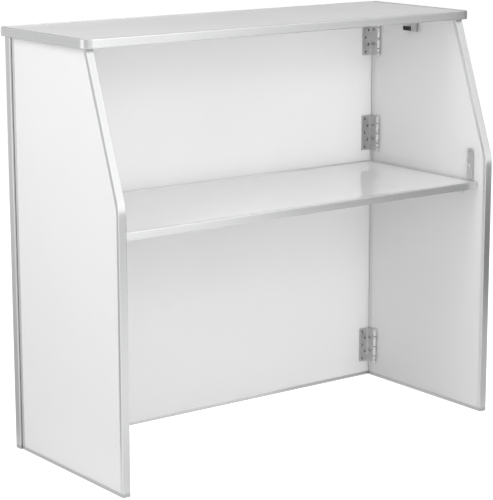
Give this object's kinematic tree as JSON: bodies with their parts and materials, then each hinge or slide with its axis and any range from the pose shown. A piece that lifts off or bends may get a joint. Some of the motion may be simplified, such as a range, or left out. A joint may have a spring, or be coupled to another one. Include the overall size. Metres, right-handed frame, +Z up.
{
  "type": "folding portable bar",
  "caption": "White portable bar with hinged side panels, a lift-off top and a draw-out service shelf held by turn latches, all edged in aluminium channel.",
  "frame": {"origin": "on the floor, under the centre of the bounding box", "axes": "+Z up, +Y towards the guests, so the service side faces -Y, +X to the right seen from the service side"},
  "size_m": [1.22, 0.508, 1.087],
  "materials": {
    "white_laminate": "white gloss laminate on board",
    "edge_aluminium": "satin anodised channel",
    "hinge_steel": "plain rolled steel",
    "zinc_plate": "zinc plated",
    "bright_steel": "bright plated",
    "black_plastic": "moulded"
  },
  "bodies": {
    "front": {"front_board": "white_laminate", "front_trim": "edge_aluminium", "left_hinge_top_front_leaf": "hinge_steel", "left_hinge_mid_front_leaf": "hinge_steel", "left_hinge_low_front_leaf": "hinge_steel", "right_hinge_top_front_leaf": "hinge_steel", "right_hinge_mid_front_leaf": "hinge_steel", "right_hinge_low_front_leaf": "hinge_steel", "left_hinge_top_pin": "hinge_steel", "left_hinge_mid_pin": "hinge_steel", "left_hinge_low_pin": "hinge_steel", "right_hinge_top_pin": "hinge_steel", "right_hinge_mid_pin": "hinge_steel", "right_hinge_low_pin": "hinge_steel", "front_shelf_ledger": "edge_aluminium"},
    "left_side": {"left_board": "white_laminate", "left_trim": "edge_aluminium", "left_hinge_top_side_leaf": "hinge_steel", "left_hinge_mid_side_leaf": "hinge_steel", "left_hinge_low_side_leaf": "hinge_steel", "left_shelf_cleat": "edge_aluminium", "left_latch_washer": "zinc_plate", "left_latch_screw": "bright_steel", "left_top_catch": "black_plastic"},
    "right_side": {"right_board": "white_laminate", "right_trim": "edge_aluminium", "right_hinge_top_side_leaf": "hinge_steel", "right_hinge_mid_side_leaf": "hinge_steel", "right_hinge_low_side_leaf": "hinge_steel", "right_shelf_cleat": "edge_aluminium", "right_latch_washer": "zinc_plate", "right_latch_screw": "bright_steel", "right_top_catch": "black_plastic"},
    "left_latch": {"left_latch_bar": "zinc_plate", "left_latch_peg": "bright_steel"},
    "right_latch": {"right_latch_bar": "zinc_plate", "right_latch_peg": "bright_steel"},
    "shelf": {"shelf_board": "white_laminate", "shelf_trim": "edge_aluminium"},
    "top": {"top_board": "white_laminate", "top_trim": "edge_aluminium", "left_top_tab": "zinc_plate", "right_top_tab": "zinc_plate"}
  },
  "joints": [
    {"name": "left_side_fold", "type": "hinge", "parent": "front", "child": "left_side", "pos_m": [-0.5682, 0.186, 0.53], "axis": [0, 0, 1], "range_deg": [0, 0.3]},
    {"name": "right_side_fold", "type": "hinge", "parent": "front", "child": "right_side", "pos_m": [0.5682, 0.186, 0.53], "axis": [0, 0, -1], "range_deg": [0, 0.3]},
    {"name": "shelf_out", "type": "slide", "parent": "front", "child": "shelf", "axis": [0, -1, 0], "range_m": [0, 0.48]},
    {"name": "top_lift", "type": "slide", "parent": "front", "child": "top", "axis": [0, 0, 1], "range_m": [0, 0.2]},
    {"name": "left_latch_turn", "type": "hinge", "parent": "left_side", "child": "left_latch", "pos_m": [-0.5696, -0.1965, 0.718], "axis": [1, 0, 0], "range_deg": [0, 180]},
    {"name": "right_latch_turn", "type": "hinge", "parent": "right_side", "child": "right_latch", "pos_m": [0.5696, -0.1965, 0.718], "axis": [1, 0, 0], "range_deg": [0, 180]}
  ]
}
